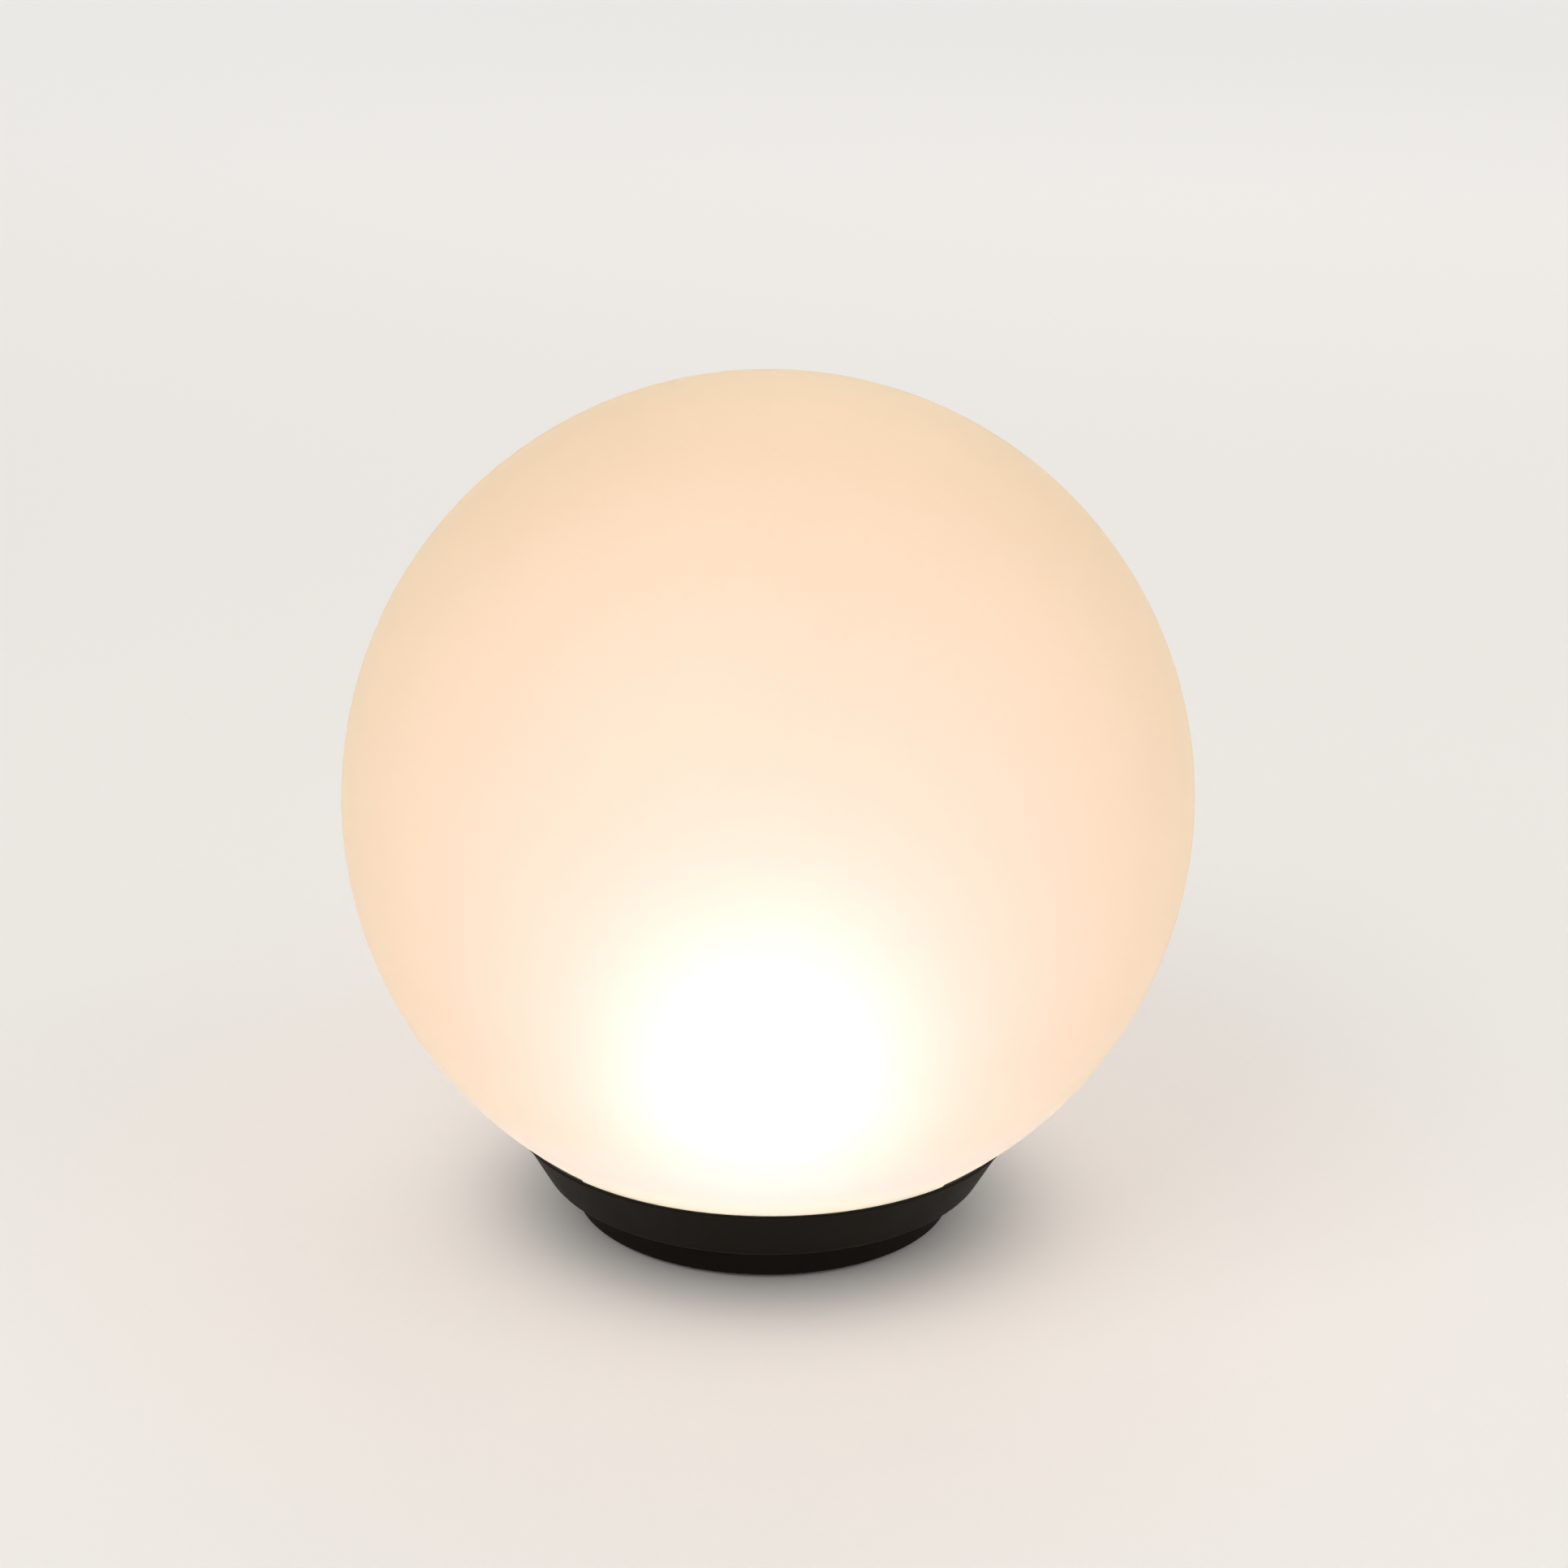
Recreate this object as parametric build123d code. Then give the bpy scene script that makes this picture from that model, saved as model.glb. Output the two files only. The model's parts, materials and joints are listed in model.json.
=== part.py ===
from build123d import *
import math
import os

# A garden globe light: an opal ball that turns onto a low black base with three bayonet hooks.
# Sizes are in millimetres. +Z is up, the origin is on the ground under the middle of the base,
# and the charge port and the power button look along +Y.

# Fits
ball_gap = 0.3          # round the ball and over its lugs
seal_gap = 0.2          # between the neck's end and the gasket it stands over
slip_gap = 0.15         # round the button and the port door
wall_gap = 0.3          # round what drops into the housing
pin_gap = 0.05          # round the hinge pin, radial
screw_gap = 0.05        # round a screw in its pilot hole, radial
hair_gap = 0.05         # between flat faces that only just clear each other
past = 1.0              # how far a cut runs past what it opens
rib_root = 0.5          # how far a rib runs into the wall behind it

# Ball
globe_radius = 125.0
globe_wall = 3.0
neck_radius = 60.0      # outside
lug_reach = 3.6
lug_height = 1.8
lug_angle = 16.0
lug_count = 3

# Base housing
ground_gap = 1.5        # the foot stands this far off the ground, on its rubber feet
shoulder_z = 12.3       # underside of the shoulder over the foot
housing_wall = 2.2
foot_wall = 2.6
collar_wall = 1.8
neck_room = 0.8         # between the collar and the ball's neck
lug_room = 0.6          # between the lugs and the wall
shoulder_round = 2.6
seat_radius = 76.2      # inner edge of the lip, where the ball comes out of the base
lip_width = 0.7
lip_height = 1.3
lip_overhang = 1.1      # of the lip over the wall's top
lip_slope = 0.6         # height of the lip's sloping underside
lip_round = 0.25
gasket_height = 1.2
gasket_inset = 0.4
hook_height = 1.8
hook_angle = 18.0
hook_inset = 1.2
hook_clearance = 0.7
stop_angle = 2.5
stop_play = 0.5
collar_height = 4.5     # over the shoulder's floor
ledge_height = 1.2
ledge_width = 3.0

# Port panel in the back of the foot
panel_depth = 3.5       # how far the flat is cut into the round foot
panel_wall = 3.6
port_lift = 0.2         # the button over the ledge
port_x = 7.0
button_x = -9.0
button_radius = 2.9
button_travel = 1.2
button_proud = 1.4
button_ear = 1.5
button_ear_height = 4.0
button_flange = 1.2
button_round = 0.6
plunger_radius = 1.0
plunger_length = 2.2
plunger_entry = 0.4     # how far the plunger starts inside the switch
plunger_spare = 0.8     # bore left behind the plunger when the button is in
switch_width = 6.0
switch_height = 3.4
switch_depth = 4.0
door_height = 6.0
door_thickness = 1.3
door_corner = 1.0
door_reach = 8.5        # from the port's centre to the door's free edge
pin_reach = 10.2        # from the port's centre to the hinge pin
pin_radius = 0.6
barrel_radius = 1.45
barrel_gap = 0.22       # round the door's barrel
pin_overlap = 1.3       # how far each end of the pin goes into the housing
thumb_radius = 1.6
seal_width = 9.6
seal_height = 4.0
seal_depth = 1.6
port_margin = 0.3
socket_width = 8.94
socket_height = 3.26
socket_length = 7.3
socket_wall = 0.3
socket_entry = 0.3
socket_back = 1.5       # closed end of the socket
tongue_width = 6.7
tongue_thickness = 0.7
tongue_length = 5.0

# Bottom cover and its seal, feet and vent
cover_thickness = 2.2
cover_seal_height = 0.8
cover_seal_width = 2.2
foot_pad_radius = 6.0
foot_pad_recess = 0.8
foot_pad_chamfer = 0.6
foot_pad_circle = 41.0
foot_pad_count = 4
vent_radius = 2.5
vent_head_radius = 4.0
vent_head_height = 0.8
vent_tail = 1.2
vent_at = (32.0, 10.0)

# Screws and the posts they drive into
screw_radius = 1.5
screw_head_radius = 2.7
screw_head_height = 1.3
screw_slot = 0.6
screw_slot_depth = 0.65
screw_head_bevel = 0.4
long_screw = 7.0
short_screw = 5.0
boss_radius = 3.2
boss_inset = 6.2        # post centre from the bay's wall
boss_angles = (25.0, 155.0, 245.0, 295.0)
rib_thickness = 1.8
pilot_extra = 0.5

# Battery
cell_radius = 9.15
cell_length = 65.0
cell_y = -14.0
cell_nub_radius = 3.0
cell_nub_height = 1.0
cell_bevel = 0.6
holder_floor = 1.4
holder_side = 1.2
holder_end = 2.0
holder_side_height = 8.0
holder_end_height = 13.5
holder_play = 0.25
contact_thickness = 0.5
contact_width = 9.0
contact_height = 11.0
contact_taper = 15.0    # degrees, of the dimple that presses on the cell
lead_run = 7.0          # of the battery lead out of its holder
lead_entry = 5.0        # straight run of a lead into a connector or the grommet
lead_rise = 0.8         # of the battery lead over the board's edge
lead_x = 16.0           # where the battery lead leaves its holder
ear_radius = 3.4
ear_thickness = 1.6
ear_lift = 4.0
ear_room = 0.4          # between an ear's post and the holder's side

# Control board
board_width = 40.0
board_depth = 27.0
board_thickness = 1.2
board_setback = 3.0     # behind the panel, so that the button's ears pass
board_post_radius = 2.5
board_post_inset = 3.2
board_corner = 1.5
connector_width = 7.0
connector_depth = 5.5
connector_height = 4.0
connector_at = (8.0, -5.4)          # from the board's middle, as are the pieces below
inductor_at = (13.0, 3.0)
inductor_size = 6.5
inductor_height = 3.2
inductor_core_radius = 2.6
inductor_core_rise = 0.8
capacitor_spots = ((-12.5, 5.0), (0.0, -8.0))
capacitor_radius = 2.6
capacitor_height = 4.2
chip_spots = ((-5.0, 4.0), (4.0, 7.0), (-16.0, -2.0))
chip_sizes = ((5.0, 6.0), (4.0, 4.0), (4.0, 3.0))
chip_height = 1.1

# Light unit
tray_wall = 2.0
tray_rise = 12.0        # deck over the flange
tray_deck_radius = 39.0
tray_post_gap = 0.6     # between the tray's cone and the housing's posts
tray_round = 1.2
dome_radius = 34.5
dome_skirt = 4.5        # upright part of the dome, round the light board
dome_rise = 6.0         # of the crown over the skirt
dome_wall = 1.5
dome_flange = 2.0
dome_flange_height = 1.5
spreader_radius = 31.0
spreader_thickness = 1.6
led_board_radius = 28.0
led_board_thickness = 1.2
led_length = 3.5
led_width = 2.8
led_height = 0.8
led_ring_radii = (17.0, 8.5)
led_ring_counts = (12, 6)
led_screw_circle = 24.0
led_screw_angles = (30.0, 150.0, 270.0)
led_boss_height = 4.0
lead_radius = 1.2
grommet_at = (8.0, 20.0)
grommet_radius = 3.4
grommet_lip = 1.2
grommet_lip_height = 0.8

# Heights, from the ground up
cover_top = ground_gap + cover_thickness
ledge_z = cover_top + cover_seal_height
ledge_top = ledge_z + ledge_height
port_z = ledge_top + port_lift + button_radius
shoulder_floor = shoulder_z + housing_wall
gasket_top = shoulder_floor + gasket_height
neck_bottom = gasket_top + seal_gap
lug_top = neck_bottom + lug_height
hook_bottom = lug_top + ball_gap
hook_top = hook_bottom + hook_height
collar_top = shoulder_floor + collar_height
board_z = port_z + socket_height / 2 + hair_gap
board_top = board_z + board_thickness
tray_flange_top = collar_top + tray_wall
deck_z = tray_flange_top + tray_rise
spreader_top = deck_z + spreader_thickness
led_board_top = spreader_top + led_board_thickness
cell_z = cover_top + holder_floor + holder_play + cell_radius

# Radii, from the neck outwards and inwards
neck_bore = neck_radius - globe_wall
collar_radius = neck_bore - neck_room
bay_radius = collar_radius - collar_wall
foot_radius = bay_radius + foot_wall
boss_circle = bay_radius - boss_inset
hook_radius = neck_radius + hook_inset
channel_radius = neck_radius + lug_reach + lug_room
shoulder_radius = channel_radius + housing_wall

# The ball stands just clear of the hooks, and the lip's top follows from where the ball leaves it.
globe_z = hook_top + hook_clearance + math.sqrt(globe_radius ** 2 - hook_radius ** 2)
lip_top = globe_z - math.sqrt((globe_radius + ball_gap) ** 2 - seat_radius ** 2)
lip_bottom = lip_top - lip_height
lip_radius = seat_radius + lip_width
wall_top_radius = lip_radius - lip_overhang
wall_slope = (wall_top_radius - shoulder_radius) / (lip_bottom - shoulder_z)
wall_width = housing_wall * math.sqrt(1 + wall_slope ** 2)      # of the sloping wall, measured level

# Back panel
panel_y = foot_radius - panel_depth
panel_back = panel_y - panel_wall
panel_half = math.sqrt(bay_radius ** 2 - panel_back ** 2)
door_left = port_x - door_reach
pin_x = port_x + pin_reach
door_back = panel_y - door_thickness
pin_y = panel_y - barrel_radius - hair_gap
board_y = panel_back - board_setback - board_depth / 2
board_front = board_y - board_depth / 2
board_back = board_y + board_depth / 2
board_post_x = board_width / 2 - board_post_inset
board_post_y = board_back - board_post_inset
connector_x, connector_y = connector_at[0], board_y + connector_at[1]
holder_front = cell_y - cell_radius - holder_play - holder_side
holder_back = cell_y + cell_radius + holder_play + holder_side
holder_inner = cell_length / 2 + cell_nub_height + contact_thickness
holder_half = holder_inner + holder_end
ear_spots = ((24.0, holder_back + ear_radius + ear_room), (-24.0, holder_back + ear_radius + ear_room),
             (0.0, holder_front - ear_radius - ear_room))


def turned(section):
    """A section drawn as (radius, height), turned about the lamp's axis."""
    return revolve(Plane.XZ * section, Axis.Z)


def block(r0, r1, z0, z1):
    """A rectangle in a turned section."""
    return Pos((r0 + r1) / 2, (z0 + z1) / 2) * Rectangle(r1 - r0, z1 - z0)


def polar(radius, angle):
    """A point at a radius and an angle in degrees."""
    return radius * math.cos(math.radians(angle)), radius * math.sin(math.radians(angle))


def ring_part(section, start, angle):
    """Part of a turned section, from start and angle degrees long, about the lamp's axis."""
    reach = 2 * globe_radius
    wedge = Polygon((0, 0), polar(reach, start), polar(reach, start + angle), align=None)
    return turned(section) & extrude(wedge, lip_top)


def upright(radius, z0, z1, x=0.0, y=0.0):
    """An upright cylinder."""
    return Pos(x, y, (z0 + z1) / 2) * Cylinder(radius, z1 - z0)


def brick(x0, x1, y0, y1, z0, z1):
    """A box between two corners."""
    return Pos((x0 + x1) / 2, (y0 + y1) / 2, (z0 + z1) / 2) * Box(x1 - x0, y1 - y0, z1 - z0)


def along_y(shape, y0, y1, x, z):
    """An outline pushed along +Y from y0 to y1, its middle at x, z."""
    return extrude(Plane((x, y1, z), x_dir=(1, 0, 0), z_dir=(0, -1, 0)) * shape, y1 - y0)


def bay_outline(inset):
    """The housing's inside as seen from below: round, with the panel's flat, drawn in by inset."""
    flat = panel_back - inset
    over = Pos(0, flat + bay_radius) * Rectangle(3 * bay_radius, 2 * bay_radius)
    return Circle(bay_radius - inset) - over


def screw(length):
    """A pan head screw with a slot, its head upwards and the seat of the head at z = 0."""
    head = upright(screw_head_radius, 0, screw_head_height)
    head = chamfer(head.edges().sort_by(Axis.Z)[-1], screw_head_bevel)
    reach = screw_head_radius + past
    slot = brick(-reach, reach, -screw_slot / 2, screw_slot / 2,
                 screw_head_height - screw_slot_depth, screw_head_height + past)
    return head + upright(screw_radius, -length, 0) - slot


def pilot(x, y, z0, z1):
    """The hole that a screw drives into."""
    return upright(screw_radius + screw_gap, z0, z1, x, y)


def round_slot(width, height):
    """A flat slot's outline with round ends."""
    return SlotOverall(width, height)


def bend_radii(points):
    """As large a bend as the two runs beside each corner allow."""
    radii = []
    for before, corner, after in zip(points, points[1:], points[2:]):
        run_in, run_out = Vector(corner) - Vector(before), Vector(after) - Vector(corner)
        turn = math.radians(run_in.get_angle(run_out))
        radii.append(0.45 * min(run_in.length, run_out.length) / math.tan(turn / 2))
    return radii


def lead(points):
    """A round lead along its route."""
    radii = bend_radii(points)
    print("lead bends, mm:", [round(radius, 1) for radius in radii])
    route = FilletPolyline(*points, radius=radii)
    return sweep(Plane(origin=route @ 0, z_dir=route % 0) * Circle(lead_radius), path=route)


# Ball ------------------------------------------------------------------------------------------

def make_globe():
    """A hollow ball, open below in a short neck with three lugs."""
    outside = Pos(0, globe_z) * Circle(globe_radius)
    inside = Pos(0, globe_z) * Circle(globe_radius - globe_wall)
    shell = (outside - inside) & block(0, 2 * globe_radius, 0, globe_z + 2 * globe_radius)
    mouth = block(-past, neck_bore, 0, globe_z)
    neck = block(neck_bore, neck_radius, neck_bottom, globe_z) - inside
    body = turned(shell - mouth + neck)
    lug = block(neck_radius - globe_wall / 2, neck_radius + lug_reach, neck_bottom, lug_top)
    lugs = [ring_part(lug, index * 360 / lug_count - lug_angle / 2, lug_angle)
            for index in range(lug_count)]
    return body + lugs


def make_globe_gasket():
    """A flat rubber ring on the shoulder's floor, under the neck."""
    return turned(block(collar_radius + gasket_inset, neck_radius, shoulder_floor, gasket_top))


# Base housing ----------------------------------------------------------------------------------

def wall_inside(z):
    """The radius of the sloping wall's inner face at a height."""
    return shoulder_radius + wall_slope * (z - shoulder_z) - wall_width


def up_to_wall(z0, z1):
    """The section of a hook or stop, its root halfway into the sloping wall."""
    root = wall_width / 2
    return Polygon((hook_radius, z0), (wall_inside(z0) + root, z0), (wall_inside(z1) + root, z1),
                   (hook_radius, z1), align=None)


def housing_shell():
    """The turned shell: foot, shoulder, flared wall and lip, with the collar standing inside."""
    foot_bottom, foot_top = (foot_radius, ground_gap), (foot_radius, shoulder_z)
    wall_foot, wall_head = (shoulder_radius, shoulder_z), (wall_top_radius, lip_bottom)
    lip_low, lip_high = (lip_radius, lip_bottom + lip_slope), (lip_radius, lip_top)
    outline = make_face([
        Line((0, ground_gap), foot_bottom), Line(foot_bottom, foot_top), Line(foot_top, wall_foot),
        Line(wall_foot, wall_head), Line(wall_head, lip_low),
        Line(lip_low, lip_high), Line(lip_high, (0, lip_top)), Line((0, lip_top), (0, ground_gap))])
    for corner, radius in ((wall_foot, shoulder_round), (lip_high, lip_round)):
        outline = fillet(outline.vertices().sort_by_distance((*corner, 0))[0], radius)
    channel = Polygon((collar_radius, shoulder_floor), (wall_inside(shoulder_floor), shoulder_floor),
                      (wall_inside(lip_top), lip_top), (collar_radius, lip_top), align=None)
    over_collar = block(0, collar_radius + neck_room, collar_top, lip_top + past)
    bay = block(-past, bay_radius, 0, lip_top + past)
    ball = Pos(0, globe_z) * Circle(globe_radius + ball_gap)
    return turned(outline - channel - over_collar - bay - ball)


def make_base_housing():
    """The shell with its hooks, ledge, screw posts and the back panel with its two holes."""
    body = housing_shell()
    body += brick(-panel_half, panel_half, panel_back, panel_y, ground_gap, shoulder_floor)
    body -= brick(-foot_radius, foot_radius, panel_y, foot_radius + past, 0, shoulder_z)
    ledge = extrude(bay_outline(-screw_gap) - bay_outline(ledge_width), ledge_height)
    body += Pos(0, 0, ledge_z) * ledge
    for index in range(lug_count):
        middle = index * 360 / lug_count
        body += ring_part(up_to_wall(hook_bottom, hook_top), middle - hook_angle / 2 - stop_angle,
                          hook_angle + stop_angle)
        body += ring_part(up_to_wall(shoulder_floor, hook_top),
                          middle - lug_angle / 2 - stop_play - stop_angle, stop_angle)
    for angle in boss_angles:
        x, y = polar(boss_circle, angle)
        rib = Rot(0, 0, angle) * brick(boss_circle, bay_radius + collar_wall / 2, -rib_thickness / 2,
                                       rib_thickness / 2, ledge_z, collar_top)
        body += upright(boss_radius, cover_top, collar_top, x, y) + rib
        body -= pilot(x, y, cover_top - past, ground_gap + screw_head_height + long_screw + pilot_extra)
        body -= pilot(x, y, tray_flange_top - long_screw - pilot_extra, collar_top + past)
    for side in (-1, 1):
        post_x = side * board_post_x
        body += upright(board_post_radius, ledge_z, board_z, post_x, board_post_y)
        body += brick(post_x - rib_thickness / 2, post_x + rib_thickness / 2,
                      board_post_y, panel_back + rib_root, ledge_z, board_z)
        body -= pilot(post_x, board_post_y, board_top - short_screw, board_z + past)
    return body - button_hole() - port_hole() - door_pocket()


def button_hole():
    """A round hole through the panel for the button."""
    return along_y(Circle(button_radius + slip_gap), panel_back - past, panel_y + past, button_x, port_z)


def port_hole():
    """The slot through the panel in front of the charge socket, with room for the door's seal."""
    width, height = seal_width + 2 * port_margin, seal_height + 2 * port_margin
    return along_y(round_slot(width, height), panel_back - past, panel_y + past, port_x, port_z)


def door_pocket():
    """The recess that the door closes flush into, the scoop for its barrel and the pin's holes."""
    half = door_height / 2 + slip_gap
    recess = brick(door_left - slip_gap, foot_radius / 2, door_back - hair_gap, foot_radius,
                   port_z - half, port_z + half)
    scoop = upright(barrel_radius + barrel_gap, port_z - half, port_z + half, pin_x, pin_y)
    pin_hole = upright(pin_radius + pin_gap, port_z - half - pin_overlap - pin_gap,
                       port_z + half + pin_overlap + pin_gap, pin_x, pin_y)
    thumb = along_y(Circle(thumb_radius), door_back, panel_y + past, door_left, port_z)
    return recess + scoop + pin_hole + thumb


# Port door, button and switch --------------------------------------------------------------------

def make_charge_door():
    """A flat door with a rolled barrel round the hinge pin."""
    z0, z1 = port_z - door_height / 2, port_z + door_height / 2
    plate = brick(door_left, pin_x, door_back, panel_y, z0, z1)
    plate = fillet(plate.edges().filter_by(Axis.Y).group_by(Axis.X)[0], door_corner)
    barrel = upright(barrel_radius, z0, z1, pin_x, pin_y)
    return plate + barrel - upright(pin_radius + pin_gap, z0 - past, z1 + past, pin_x, pin_y)


def make_door_seal():
    """A rubber plug on the back of the door."""
    return along_y(round_slot(seal_width, seal_height), door_back - seal_depth, door_back, port_x, port_z)


def make_door_hinge_pin():
    """An upright pin held in the housing above and below the door."""
    reach = door_height / 2 + slip_gap + pin_overlap
    return upright(pin_radius, port_z - reach, port_z + reach, pin_x, pin_y)


def make_power_button():
    """A round button with two ears that stop it behind the panel."""
    ears_front = panel_back - slip_gap
    cap = along_y(Circle(button_radius), ears_front - button_flange, panel_y + button_proud,
                  button_x, port_z)
    cap = fillet(cap.edges().group_by(Axis.Y)[-1], button_round)
    ears = along_y(Rectangle(2 * (button_radius + button_ear), button_ear_height),
                   ears_front - button_flange, ears_front, button_x, port_z)
    return cap + ears


def make_switch_plunger():
    """The small pin that the button drives into the switch."""
    start = panel_back - slip_gap - button_flange
    return along_y(Circle(plunger_radius), start - plunger_length, start, button_x, port_z)


def make_switch_body():
    """A side switch hanging under the control board, with a bore for its plunger."""
    front = panel_back - slip_gap - button_flange - plunger_length + plunger_entry
    body = brick(button_x - switch_width / 2, button_x + switch_width / 2, front - switch_depth, front,
                 board_z - switch_height, board_z)
    depth = plunger_entry + button_travel + plunger_spare
    bore = along_y(Circle(plunger_radius + 2 * pin_gap), front - depth, front + past, button_x, port_z)
    return body - bore


def make_charge_socket():
    """A rounded metal socket, open towards the port."""
    start = panel_back + socket_entry
    outer = round_slot(socket_width, socket_height)
    inner = round_slot(socket_width - 2 * socket_wall, socket_height - 2 * socket_wall)
    shell = along_y(outer, start - socket_length, start, port_x, port_z)
    return shell - along_y(inner, start - socket_length + socket_back, start + past, port_x, port_z)


def make_charge_tongue():
    """The contact tongue in the middle of the socket."""
    start = panel_back + socket_entry - socket_length + socket_back
    return along_y(Rectangle(tongue_width, tongue_thickness), start, start + tongue_length,
                   port_x, port_z)


# Bottom cover ------------------------------------------------------------------------------------

def foot_pad_spots():
    """Where the rubber feet go."""
    return [polar(foot_pad_circle, index * 360 / foot_pad_count) for index in range(foot_pad_count)]


def board_rests():
    """Two posts on the cover under the front corners of the control board."""
    return [(side * board_post_x, board_front + board_post_inset) for side in (-1, 1)]


def make_bottom_cover():
    """The plate that closes the foot, with recesses for feet and screws and the posts on top."""
    body = Pos(0, 0, ground_gap) * extrude(bay_outline(wall_gap), cover_thickness)
    for x, y in foot_pad_spots():
        body -= upright(foot_pad_radius + slip_gap, 0, ground_gap + foot_pad_recess, x, y)
    for angle in boss_angles:
        x, y = polar(boss_circle, angle)
        body -= upright(screw_head_radius + slip_gap, 0, ground_gap + screw_head_height, x, y)
        body -= pilot(x, y, 0, cover_top + past)
    body -= upright(vent_radius + screw_gap, 0, cover_top + past, *vent_at)
    body -= upright(vent_head_radius + slip_gap, 0, ground_gap + vent_head_height, *vent_at)
    for x, y in board_rests():
        body += upright(board_post_radius, cover_top, board_z, x, y)
    for x, y in ear_spots:
        body += upright(ear_radius, cover_top, cover_top + ear_lift, x, y)
        body -= pilot(x, y, cover_top + ear_lift + ear_thickness - short_screw, cover_top + ear_lift + past)
    return body


def make_cover_gasket():
    """A flat seal between the cover's rim and the housing's ledge."""
    seal = bay_outline(wall_gap) - bay_outline(wall_gap + cover_seal_width)
    return Pos(0, 0, cover_top) * extrude(seal, cover_seal_height)


def make_rubber_feet():
    """Round feet pressed into the cover."""
    height = ground_gap + foot_pad_recess
    pads = []
    for x, y in foot_pad_spots():
        pad = upright(foot_pad_radius, 0, height, x, y)
        pads.append(chamfer(pad.edges().group_by(Axis.Z)[0], foot_pad_chamfer))
    return Part() + pads


def make_vent_plug():
    """A breathing plug with a flat head outside and a stem through the cover."""
    head = upright(vent_head_radius, ground_gap, ground_gap + vent_head_height, *vent_at)
    return head + upright(vent_radius, ground_gap, cover_top + vent_tail, *vent_at)


# Screws --------------------------------------------------------------------------------------------

def make_cover_screws():
    """Four screws up through the cover into the housing's posts."""
    spots = [polar(boss_circle, angle) for angle in boss_angles]
    return Part() + [Pos(x, y, ground_gap + screw_head_height) * Rot(180, 0, 0) * screw(long_screw)
                     for x, y in spots]


def make_tray_screws():
    """Four screws down through the tray's flange into the same posts."""
    spots = [polar(boss_circle, angle) for angle in boss_angles]
    return Part() + [Pos(x, y, tray_flange_top) * screw(long_screw) for x, y in spots]


def make_board_screws():
    """Two screws that hold the control board to its posts."""
    return Part() + [Pos(side * board_post_x, board_post_y, board_top)
                     * screw(short_screw - pilot_extra) for side in (-1, 1)]


def make_holder_screws():
    """Three screws through the battery holder's ears."""
    return Part() + [Pos(x, y, cover_top + ear_lift + ear_thickness) * screw(short_screw - pilot_extra)
                     for x, y in ear_spots]


def make_led_screws():
    """Three screws through the light board and the heat spreader into the tray."""
    spots = [polar(led_screw_circle, angle) for angle in led_screw_angles]
    return Part() + [Pos(x, y, led_board_top) * screw(long_screw) for x, y in spots]


# Battery ---------------------------------------------------------------------------------------------

def make_battery_cell():
    """One round rechargeable cell, lying along X, with its raised terminal."""
    flat = Plane((-cell_length / 2, cell_y, cell_z), z_dir=(1, 0, 0))
    can = extrude(flat * Circle(cell_radius), cell_length)
    can = chamfer(can.edges().filter_by(GeomType.CIRCLE), cell_bevel)
    nub = extrude(Plane((cell_length / 2, cell_y, cell_z), z_dir=(1, 0, 0)) * Circle(cell_nub_radius),
                  cell_nub_height)
    return can + nub


def make_battery_holder():
    """A tray round the cell with low sides, two ends and three screw ears."""
    body = brick(-holder_half, holder_half, holder_front, holder_back, cover_top,
                 cover_top + holder_floor)
    for y in (holder_front, holder_back - holder_side):
        body += brick(-holder_half, holder_half, y, y + holder_side, cover_top,
                      cover_top + holder_side_height)
    for x in (-holder_half, holder_inner):
        body += brick(x, x + holder_end, holder_front, holder_back, cover_top,
                      cover_top + holder_end_height)
    ear_z = cover_top + ear_lift
    for x, y in ear_spots:
        root = cell_y + math.copysign(cell_radius + holder_play + holder_side / 2, y - cell_y)
        body += upright(ear_radius, ear_z, ear_z + ear_thickness, x, y)
        body += brick(x - ear_radius, x + ear_radius, min(root, y), max(root, y), ear_z,
                      ear_z + ear_thickness)
        body -= pilot(x, y, cover_top, ear_z + ear_thickness + past)
    return body


def make_battery_contacts():
    """A contact plate at each end of the holder, dimpled out to the cell."""
    plates = []
    for side, gap in ((1, 0.0), (-1, cell_nub_height)):
        x = side * holder_inner
        plate = brick(min(x, x - side * contact_thickness), max(x, x - side * contact_thickness),
                      cell_y - contact_width / 2, cell_y + contact_width / 2,
                      cell_z - contact_height / 2, cell_z + contact_height / 2)
        if gap:
            face = Plane((x - side * contact_thickness, cell_y, cell_z), z_dir=(-side, 0, 0))
            plate += extrude(face * Circle(cell_nub_radius), gap, taper=contact_taper)
        plates.append(plate)
    return Part() + plates


def make_battery_lead():
    """From the side of the battery holder over the board's edge to its connector."""
    lead_z = board_top + connector_height / 2
    low_z = cover_top + holder_side_height / 2
    out_y = holder_back + lead_run
    end_y = connector_y - connector_depth / 2
    in_y = end_y - lead_entry
    over_edge = (-(lead_x + connector_x) / 2, (out_y + in_y) / 2, (low_z + lead_z) / 2 + lead_rise)
    points = [(-lead_x, holder_back, low_z), (-lead_x, out_y, low_z), over_edge,
              (-connector_x, in_y, lead_z), (-connector_x, end_y, lead_z)]
    return lead(points)


# Control board -----------------------------------------------------------------------------------------

def make_control_board():
    """The board, with screw holes over the housing's posts."""
    body = brick(-board_width / 2, board_width / 2, board_front, board_back, board_z, board_top)
    body = fillet(body.edges().filter_by(Axis.Z), board_corner)
    for side in (-1, 1):
        body -= pilot(side * board_post_x, board_post_y, board_z - past, board_top + past)
    return body


def on_board(x, y, width, depth, height):
    """A block that stands on the control board, its middle at x, y from the board's."""
    return brick(x - width / 2, x + width / 2, board_y + y - depth / 2, board_y + y + depth / 2,
                 board_top, board_top + height)


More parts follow.
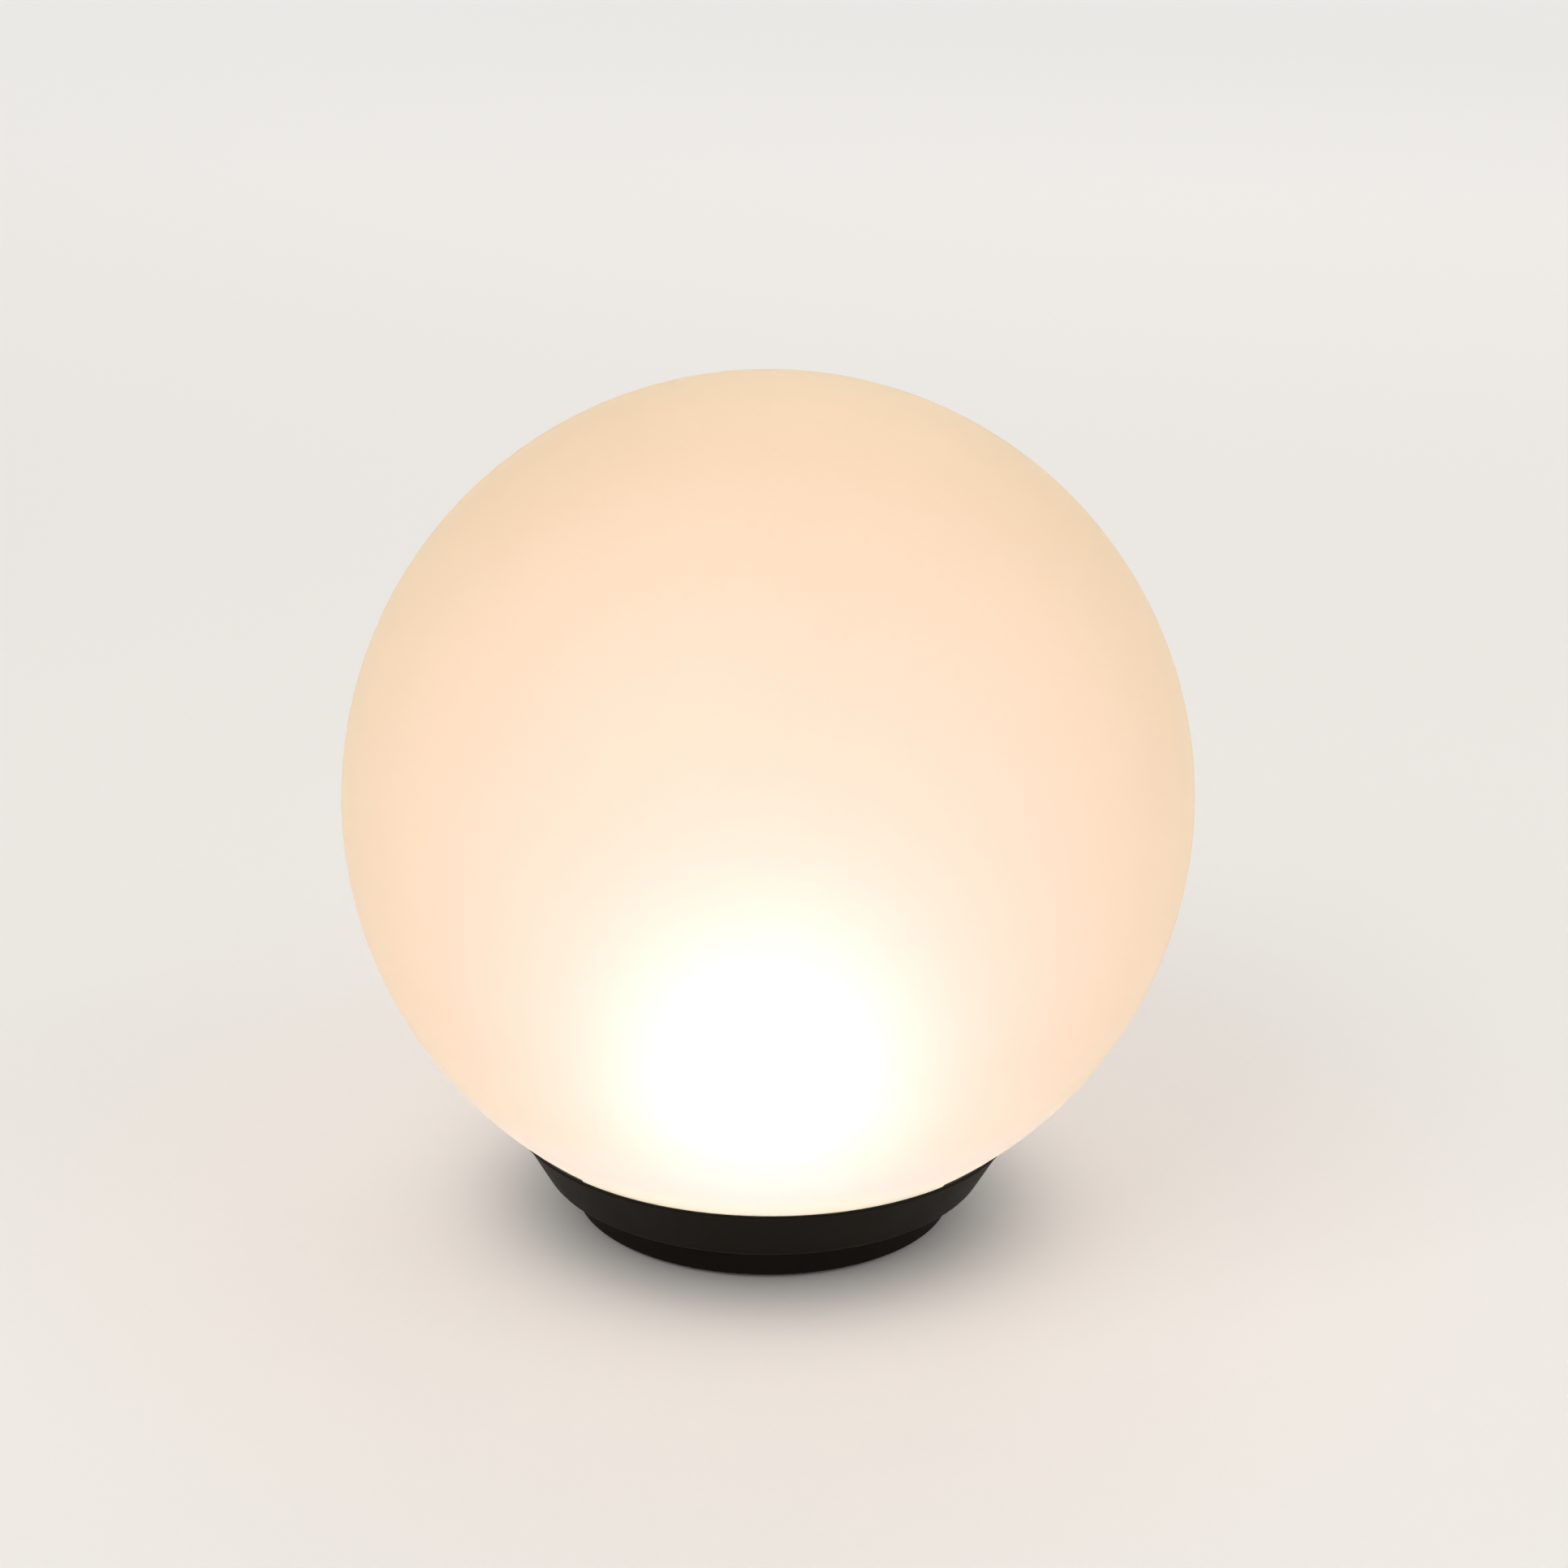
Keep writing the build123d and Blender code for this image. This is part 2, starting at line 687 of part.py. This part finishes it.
def make_board_chips():
    """The charger, the driver and the timer."""
    return Part() + [on_board(*spot, *size, chip_height) for spot, size in zip(chip_spots, chip_sizes)]


def make_board_inductor():
    """A square power inductor with a round core on top."""
    x, y = inductor_at
    body = on_board(x, y, inductor_size, inductor_size, inductor_height)
    top = board_top + inductor_height + inductor_core_rise
    return body + upright(inductor_core_radius, board_top, top, x, board_y + y)


def make_board_capacitors():
    """Two round capacitors."""
    return Part() + [upright(capacitor_radius, board_top, board_top + capacitor_height, x, board_y + y)
                     for x, y in capacitor_spots]


def make_board_connectors():
    """Two plug connectors, for the battery and for the light unit."""
    x, y = connector_at
    return Part() + [on_board(side * x, y, connector_width, connector_depth, connector_height)
                     for side in (-1, 1)]


# Light unit --------------------------------------------------------------------------------------------

def make_reflector_tray():
    """A white hat that closes the base inside the ball and carries the light unit."""
    skirt_radius = boss_circle - boss_radius - tray_post_gap
    skirt = Vector(skirt_radius, tray_flange_top)
    deck = Vector(tray_deck_radius, deck_z)
    outline = Polygon((0, collar_top), (collar_radius, collar_top), (collar_radius, tray_flange_top),
                      (skirt.X, skirt.Y), (deck.X, deck.Y), (0, deck_z), align=None)
    outline = fillet(outline.vertices().sort_by_distance((deck.X, deck.Y, 0))[0], tray_round)
    hollow = Polygon((-past, collar_top - past), (skirt.X - tray_wall, collar_top - past),
                     (skirt.X - tray_wall, collar_top), (deck.X - tray_wall, deck.Y - tray_wall),
                     (-past, deck.Y - tray_wall), align=None)
    body = turned(outline - hollow)
    for angle in led_screw_angles:
        x, y = polar(led_screw_circle, angle)
        body += upright(boss_radius, deck_z - tray_wall - led_boss_height, deck_z - tray_wall / 2, x, y)
        body -= pilot(x, y, led_board_top - long_screw - pilot_extra, deck_z + past)
    for angle in boss_angles:
        body -= pilot(*polar(boss_circle, angle), collar_top - past, tray_flange_top + past)
    return body - upright(grommet_radius + screw_gap, collar_top, deck_z + past, *grommet_at)


def make_lead_grommet():
    """A rubber ring that seals the lead's hole in the deck."""
    ring = upright(grommet_radius, deck_z - tray_wall, deck_z, *grommet_at)
    for z in (deck_z, deck_z - tray_wall - grommet_lip_height):
        ring += upright(grommet_radius + grommet_lip, z, z + grommet_lip_height, *grommet_at)
    return ring - upright(lead_radius + screw_gap, collar_top, led_board_top, *grommet_at)


def make_led_spreader():
    """An aluminium disc under the light board."""
    body = upright(spreader_radius, deck_z, spreader_top)
    for angle in led_screw_angles:
        body -= pilot(*polar(led_screw_circle, angle), deck_z - past, spreader_top + past)
    return body - upright(grommet_radius + grommet_lip + slip_gap, deck_z - past, spreader_top + past,
                          *grommet_at)


def make_led_board():
    """The round light board."""
    body = upright(led_board_radius, spreader_top, led_board_top)
    for angle in led_screw_angles:
        body -= pilot(*polar(led_screw_circle, angle), spreader_top - past, led_board_top + past)
    return body


def make_led_chips():
    """Two rings of small light chips, each turned to face the middle."""
    chips = []
    for radius, count in zip(led_ring_radii, led_ring_counts):
        for index in range(count):
            chip = Pos(radius, 0, led_board_top + led_height / 2) * Box(led_width, led_length, led_height)
            chips.append(Rot(0, 0, index * 360 / count) * chip)
    return Part() + chips


def make_led_dome():
    """A shallow clear dome over the lights, with a flange on the tray's deck."""
    sphere_radius = (dome_radius ** 2 + dome_rise ** 2) / (2 * dome_rise)
    crown = deck_z + dome_skirt + dome_rise
    middle = Pos(0, crown - sphere_radius)
    cap = middle * Circle(sphere_radius) & block(0, dome_radius, deck_z, crown)
    hollow = (middle * Circle(sphere_radius - dome_wall)
              & block(0, dome_radius - dome_wall, deck_z - past, crown))
    flange = block(dome_radius - dome_wall / 2, dome_radius + dome_flange, deck_z,
                   deck_z + dome_flange_height)
    return turned(cap + flange - hollow)


def make_led_lead():
    """From the board's connector up through the grommet to the light board."""
    x, y = grommet_at
    start = board_top + connector_height
    points = [(connector_x, connector_y, start), (connector_x, connector_y, start + lead_entry),
              (x, y, deck_z - tray_wall - lead_entry), (x, y, spreader_top)]
    return lead(points)


parts = {
    "globe": make_globe,
    "globe_gasket": make_globe_gasket,
    "base_housing": make_base_housing,
    "charge_door": make_charge_door,
    "door_seal": make_door_seal,
    "door_hinge_pin": make_door_hinge_pin,
    "power_button": make_power_button,
    "switch_plunger": make_switch_plunger,
    "switch_body": make_switch_body,
    "charge_socket": make_charge_socket,
    "charge_tongue": make_charge_tongue,
    "bottom_cover": make_bottom_cover,
    "cover_gasket": make_cover_gasket,
    "rubber_feet": make_rubber_feet,
    "vent_plug": make_vent_plug,
    "cover_screws": make_cover_screws,
    "tray_screws": make_tray_screws,
    "board_screws": make_board_screws,
    "holder_screws": make_holder_screws,
    "led_screws": make_led_screws,
    "battery_cell": make_battery_cell,
    "battery_holder": make_battery_holder,
    "battery_contacts": make_battery_contacts,
    "battery_lead": make_battery_lead,
    "control_board": make_control_board,
    "board_chips": make_board_chips,
    "board_inductor": make_board_inductor,
    "board_capacitors": make_board_capacitors,
    "board_connectors": make_board_connectors,
    "reflector_tray": make_reflector_tray,
    "lead_grommet": make_lead_grommet,
    "led_spreader": make_led_spreader,
    "led_board": make_led_board,
    "led_chips": make_led_chips,
    "led_dome": make_led_dome,
    "led_lead": make_led_lead,
}

os.makedirs("parts", exist_ok=True)
for name, make in parts.items():
    export_step(make(), f"parts/{name}.step")
print(f"ball centre {globe_z:.2f}, lip top {lip_top:.2f}, height {globe_z + globe_radius:.2f}")
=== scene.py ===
import json
import math

import bpy
from mathutils import Matrix, Vector


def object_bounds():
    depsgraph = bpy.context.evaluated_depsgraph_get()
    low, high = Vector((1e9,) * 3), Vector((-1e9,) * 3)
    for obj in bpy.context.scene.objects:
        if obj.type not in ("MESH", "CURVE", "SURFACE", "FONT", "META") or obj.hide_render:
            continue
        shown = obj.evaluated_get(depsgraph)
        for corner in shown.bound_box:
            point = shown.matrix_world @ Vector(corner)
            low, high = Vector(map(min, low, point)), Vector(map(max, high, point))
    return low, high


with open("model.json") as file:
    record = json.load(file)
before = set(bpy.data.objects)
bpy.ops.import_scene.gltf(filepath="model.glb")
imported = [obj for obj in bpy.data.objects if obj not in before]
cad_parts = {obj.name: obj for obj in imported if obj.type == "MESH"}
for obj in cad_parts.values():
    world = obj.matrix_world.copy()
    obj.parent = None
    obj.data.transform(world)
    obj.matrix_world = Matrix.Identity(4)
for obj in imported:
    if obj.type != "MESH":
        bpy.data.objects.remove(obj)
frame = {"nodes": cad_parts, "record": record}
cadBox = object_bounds()
cadNodes = frame["nodes"]
print("frame loaded:", len(cadNodes), "nodes")


class Wire:  # a value in a material; arithmetic on it adds Math nodes
    def __init__(self, paint, socket):
        self.paint, self.socket = paint, socket

    def __add__(self, other): return self.paint.sum("ADD", self, other)
    def __radd__(self, other): return self.paint.sum("ADD", other, self)
    def __sub__(self, other): return self.paint.sum("SUBTRACT", self, other)
    def __rsub__(self, other): return self.paint.sum("SUBTRACT", other, self)
    def __mul__(self, other): return self.paint.sum("MULTIPLY", self, other)
    def __rmul__(self, other): return self.paint.sum("MULTIPLY", other, self)
    def __truediv__(self, other): return self.paint.sum("DIVIDE", self, other)
    def __rtruediv__(self, other): return self.paint.sum("DIVIDE", other, self)


class Paint:  # one material and its nodes
    def __init__(self, name):
        self.material = bpy.data.materials.new(name)
        self.material.use_nodes = True
        self.tree = self.material.node_tree
        self.tree.nodes.clear()

    def node(self, kind, settings=None, sockets=None, out=0):
        made = self.tree.nodes.new("ShaderNode" + kind)
        for key, value in (settings or {}).items():
            if key == "stops":  # places and colours of a ramp
                elements = made.color_ramp.elements
                for _ in value[2:]:
                    elements.new(1.0)
                for element, (spot, colour) in zip(elements, value):
                    element.position, element.color = spot, (*colour, 1)
            else:
                setattr(made, key, value)
        for key, value in (sockets or {}).items():
            if isinstance(value, Wire):
                self.tree.links.new(value.socket, made.inputs[key])
            else:
                made.inputs[key].default_value = value
        if len(made.outputs):  # all but the last node of a material
            return Wire(self, made.outputs[out])

    def sum(self, operation, a, b):
        return self.node("Math", {"operation": operation}, {0: a, 1: b})

    def clamp(self, value):  # to between 0 and 1
        return self.node("Clamp", None, {"Value": value})

    def place(self, centre=(0, 0, 0)):  # object coordinates, in metres from a centre
        where = self.node("TexCoord", out="Object")
        return self.node("Mapping", {"vector_type": "TEXTURE"}, {"Vector": where, "Location": centre})

    def noise(self, where, scale, detail=2.0, roughness=0.5):  # lumps of about 1 / scale metres
        return self.node("TexNoise", None, {"Vector": where, "Scale": scale, "Detail": detail,
                                            "Roughness": roughness}, out="Fac")

    def blend(self, amount, a, b):  # colour a to colour b
        return self.node("Mix", {"data_type": "RGBA"}, {0: amount, 6: a, 7: b}, out=2)

    def ramp(self, amount, stops):
        return self.node("ValToRGB", {"stops": stops}, {"Fac": amount})

    def bump(self, height, strength, distance):
        return self.node("Bump", None, {"Height": height, "Strength": strength, "Distance": distance})

    def finish(self, sockets):
        surface = self.node("BsdfPrincipled", None, sockets)
        self.node("OutputMaterial", None, {"Surface": surface})
        return self.material


# ball of opal plastic, the widest piece and the highest

ballRadius = (cadBox[1][1] - cadBox[0][1]) / 2
ballCentreZ = cadBox[1][2] - ballRadius
opal = {"paintedGlowStrength": 1.0, "roughness": 0.54, "index": 1.45,
        "through": 0.45,  # share of the light that passes through the wall
        "coatIndex": 1.15, "coatTint": (0.948, 0.943, 0.86, 1), "coatRoughness": 0.45,
        "grain": 1600.0, "bump": 0.06, "bumpDepth": 0.0002,
        # by height, from the bottom of the ball at 0 to its top at 1; both ramps are painted light: the
        # colour paler and pinker and the glow brighter towards the bottom, where the lamp inside sits
        "colour": ((0.15, (0.74, 0.7, 0.74)), (0.5, (0.67, 0.62, 0.647)), (1.0, (0.65, 0.62, 0.6))),
        "glow": ((0.08, (0.57, 0.56, 0.54)), (0.15, (0.36, 0.3, 0.36)), (0.22, (0.31, 0.24, 0.22)),
                 (0.33, (0.3, 0.205, 0.165)), (0.5, (0.29, 0.205, 0.15)), (1.0, (0.24, 0.14, 0.08)))}


def opalBall():
    paint = Paint("opalPlastic")
    where = paint.place((0, 0, ballCentreZ))
    height = paint.node("SeparateXYZ", None, {"Vector": where}, out="Z")
    rise = height / (2 * ballRadius) + 0.5
    grain = paint.noise(where, opal["grain"])
    # painted light: a base colour paler and pinker, and a painted glow brighter, towards the bottom of
    # the ball
    return paint.finish({
        "Base Color": paint.ramp(rise, opal["colour"]), "Roughness": opal["roughness"],
        "IOR": opal["index"], "Transmission Weight": opal["through"],
        "Coat Weight": 1.0, "Coat IOR": opal["coatIndex"], "Coat Tint": opal["coatTint"],
        "Coat Roughness": opal["coatRoughness"],
        "Emission Color": paint.ramp(rise, opal["glow"]), "Emission Strength": opal["paintedGlowStrength"],
        "Normal": paint.bump(grain, opal["bump"], opal["bumpDepth"])})


# moulded plastics, rubbers, metals and boards; worn is the colour of the rubbed patches

finishes = {
    "black_plastic": {"colour": (0.006, 0.0043, 0.0024), "worn": (0.009, 0.0066, 0.004), "rough": 0.56,
                      "roughWorn": 0.66, "metal": 0.0, "gloss": 0.1, "grain": 2600.0, "patch": 60.0,
                      "bump": 0.35},
    "black_rubber": {"colour": (0.012, 0.012, 0.012), "worn": (0.028, 0.027, 0.026), "rough": 0.78,
                     "roughWorn": 0.88, "metal": 0.0, "grain": 1800.0, "patch": 90.0, "bump": 0.3},
    "steel": {"colour": (0.58, 0.57, 0.55), "worn": (0.46, 0.45, 0.43), "rough": 0.28,
              "roughWorn": 0.42, "metal": 1.0, "grain": 3500.0, "patch": 400.0, "bump": 0.1},
    "plated_contact": {"colour": (0.72, 0.70, 0.64), "worn": (0.6, 0.57, 0.5), "rough": 0.2,
                       "roughWorn": 0.35, "metal": 1.0, "grain": 2500.0, "patch": 200.0, "bump": 0.1},
    "dark_moulding": {"colour": (0.03, 0.03, 0.031), "worn": (0.045, 0.045, 0.045), "rough": 0.5,
                      "roughWorn": 0.6, "metal": 0.0, "grain": 2500.0, "patch": 150.0, "bump": 0.25},
    "switch_pin": {"colour": (0.62, 0.58, 0.5), "worn": (0.54, 0.5, 0.43), "rough": 0.45,
                   "roughWorn": 0.55, "metal": 0.0, "grain": 2500.0, "patch": 200.0, "bump": 0.1},
    "cell_wrap": {"colour": (0.03, 0.16, 0.33), "worn": (0.035, 0.19, 0.37), "rough": 0.3,
                  "roughWorn": 0.4, "metal": 0.0, "grain": 900.0, "patch": 60.0, "bump": 0.15},
    "lead_cover": {"colour": (0.3, 0.02, 0.02), "worn": (0.34, 0.035, 0.03), "rough": 0.55,
                   "roughWorn": 0.65, "metal": 0.0, "grain": 1500.0, "patch": 100.0, "bump": 0.1},
    "circuit_board": {"colour": (0.012, 0.13, 0.05), "worn": (0.03, 0.22, 0.09), "rough": 0.3,
                      "roughWorn": 0.4, "metal": 0.0, "grain": 1200.0, "patch": 350.0, "bump": 0.15},
    "capacitor_can": {"colour": (0.66, 0.66, 0.68), "worn": (0.55, 0.55, 0.57), "rough": 0.3,
                      "roughWorn": 0.42, "metal": 1.0, "grain": 3000.0, "patch": 300.0, "bump": 0.08},
    "white_nylon": {"colour": (0.74, 0.7, 0.6), "worn": (0.68, 0.64, 0.54), "rough": 0.5,
                    "roughWorn": 0.6, "metal": 0.0, "grain": 2000.0, "patch": 120.0, "bump": 0.12},
    "white_reflector": {"colour": (0.82, 0.81, 0.78), "worn": (0.78, 0.76, 0.72), "rough": 0.6,
                        "roughWorn": 0.7, "metal": 0.0, "grain": 1500.0, "patch": 60.0, "bump": 0.15},
    "bare_aluminium": {"colour": (0.66, 0.66, 0.67), "worn": (0.58, 0.58, 0.59), "rough": 0.35,
                       "roughWorn": 0.5, "metal": 1.0, "grain": 2500.0, "patch": 120.0, "bump": 0.12},
    "white_board": {"colour": (0.8, 0.8, 0.77), "worn": (0.75, 0.74, 0.7), "rough": 0.35,
                    "roughWorn": 0.45, "metal": 0.0, "grain": 1500.0, "patch": 150.0, "bump": 0.08},
}

# grain all over and rubbed patches, as on all of these; gloss where a finish names none
wear = {"grainDetail": 3.0, "grainRoughness": 0.6, "grainDepth": 0.00008, "patchDetail": 4.0,
        "patchRoughness": 0.55, "from": 0.42, "gain": 3.0, "gloss": 0.5}


def mouldedFinish(name):
    look = finishes[name]
    paint = Paint(name)
    where = paint.place()
    grain = paint.noise(where, look["grain"], wear["grainDetail"], wear["grainRoughness"])
    patch = paint.noise(where, look["patch"], wear["patchDetail"], wear["patchRoughness"])
    worn = paint.clamp((patch - wear["from"]) * wear["gain"])
    return paint.finish({
        "Base Color": paint.blend(worn, (*look["colour"], 1), (*look["worn"], 1)),
        "Roughness": look["rough"] + worn * (look["roughWorn"] - look["rough"]),
        "Metallic": look["metal"], "Specular IOR Level": look.get("gloss", wear["gloss"]),
        "Normal": paint.bump(grain, look["bump"], wear["grainDepth"])})


# light chips and the dome over them

chip = {"dark": (0.9, 0.62, 0.12, 1), "light": (0.95, 0.7, 0.2, 1), "grain": 4000.0, "roughness": 0.4,
        "glow": (1.0, 0.82, 0.55, 1), "power": 6.0}
# its glow has less green, which clips first and would ring the ball's white spot with yellow
dome = {"colour": (0.9, 0.88, 0.84, 1), "roughness": 0.5, "grain": 2500.0, "bump": 0.1,
        "bumpDepth": 0.0001, "glow": (1.0, 0.78, 1.0, 1), "power": 80.0}


def litChip():
    paint = Paint("ledPhosphor")
    grain = paint.noise(paint.place(), chip["grain"])
    return paint.finish({"Base Color": paint.blend(grain, chip["dark"], chip["light"]),
                         "Roughness": chip["roughness"],
                         "Emission Color": chip["glow"], "Emission Strength": chip["power"]})


def litDome():
    paint = Paint("frostedDome")
    grain = paint.noise(paint.place(), dome["grain"])
    return paint.finish({"Base Color": dome["colour"], "Roughness": dome["roughness"],
                         "Emission Color": dome["glow"], "Emission Strength": dome["power"],
                         "Normal": paint.bump(grain, dome["bump"], dome["bumpDepth"])})


materials = {name: mouldedFinish(name) for name in finishes}
materials["opal_plastic"] = opalBall()
materials["led_phosphor"] = litChip()
materials["frosted_dome"] = litDome()

for part in frame["record"]["subparts"]:
    node = cadNodes[part["node"]]
    for slot in node.material_slots:
        slot.link = "OBJECT"
        slot.material = materials[part["material_slot"]]
print("finishes set:", len(materials))


# floor, painted paler and given a faint painted glow further out, where the lamps' light falls off

# painted light: the floor is paler and glows faintly further out, where the lamps' light falls off, so
# that it meets the sky
paper = {"reach": 12.0, "roughness": 0.75, "near": (0.8, 0.785, 0.76, 1), "far": (0.97, 0.965, 0.95, 1),
         "dark": (0, 0, 0, 1), "paintedFarGlow": (0.032, 0.032, 0.034, 1),  # lifts the far floor to the sky
         "fadeFrom": 0.6, "fadeTo": 3.5}


def makeFloor():
    bpy.ops.object.select_all(action="DESELECT")
    bpy.ops.mesh.primitive_plane_add(size=2 * paper["reach"], location=(0, 0, 0))
    floor = bpy.context.object
    floor.name = "floor"
    paint = Paint("floorPaper")
    away = paint.node("VectorMath", {"operation": "LENGTH"}, {0: paint.place()}, out="Value")
    # painted light: the paler colour and the faint glow grow with the distance from the middle
    paintedLightFade = paint.node("MapRange", {"interpolation_type": "SMOOTHSTEP"},
                      {"Value": away, "From Min": paper["fadeFrom"], "From Max": paper["fadeTo"]})
    floor.data.materials.append(paint.finish({
        "Base Color": paint.blend(paintedLightFade, paper["near"], paper["far"]),
        "Roughness": paper["roughness"], "Emission Strength": 1.0,
        "Emission Color": paint.blend(paintedLightFade, paper["dark"], paper["paintedFarGlow"])}))


makeFloor()


# camera, aimed at the ball and fitted to its outline in the photograph

shot = {"distance": 1.0, "elevation": 19.5, "roll": 0.75, "lens": 77.83, "sensor": 36.0,
        "clip": (0.01, 50.0), "frame": 1932, "shift": (19.5, 14.6)}  # frame and shift in pixels


def makeCamera():
    data = bpy.data.cameras.new("camera")
    data.lens, data.sensor_width = shot["lens"], shot["sensor"]
    data.shift_x, data.shift_y = [move / shot["frame"] for move in shot["shift"]]
    data.clip_start, data.clip_end = shot["clip"]
    camera = bpy.data.objects.new("camera", data)
    bpy.context.scene.collection.objects.link(camera)
    up = math.radians(shot["elevation"])
    aim = Vector((0, 0, ballCentreZ))
    spot = aim + shot["distance"] * Vector((0, -math.cos(up), math.sin(up)))
    roll = Matrix.Rotation(math.radians(shot["roll"]), 3, "Z")
    turn = (aim - spot).to_track_quat("-Z", "Y").to_matrix() @ roll
    camera.matrix_world = Matrix.Translation(spot) @ turn.to_4x4()
    bpy.context.scene.camera = camera


makeCamera()


# soft studio light

studio = {"sky": (1.0, 0.985, 0.96, 1), "skyPower": 0.8, "aim": (0, 0, 0.1),
          "panels": {"keyPanel": {"at": (-1.1, -1.3, 1.9), "size": 1.6, "power": 14.0},
                     "fillPanel": {"at": (1.5, -0.6, 1.3), "size": 1.6, "power": 5.0},
                     "backPanel": {"at": (0.3, 1.7, 1.6), "size": 1.6, "power": 5.0}}}


def lightStudio():
    world = bpy.data.worlds.new("studio")
    world.use_nodes = True
    sky = world.node_tree.nodes["Background"].inputs
    sky["Color"].default_value, sky["Strength"].default_value = studio["sky"], studio["skyPower"]
    bpy.context.scene.world = world
    for name, panel in studio["panels"].items():
        data = bpy.data.lights.new(name, "AREA")
        data.shape, data.size, data.energy = "SQUARE", panel["size"], panel["power"]
        light = bpy.data.objects.new(name, data)
        bpy.context.scene.collection.objects.link(light)
        light.location = panel["at"]
        towards = Vector(studio["aim"]) - light.location
        light.rotation_euler = towards.to_track_quat("-Z", "Y").to_euler()


lightStudio()
bpy.context.scene.view_settings.view_transform = "Standard"
print("camera, floor and light set")
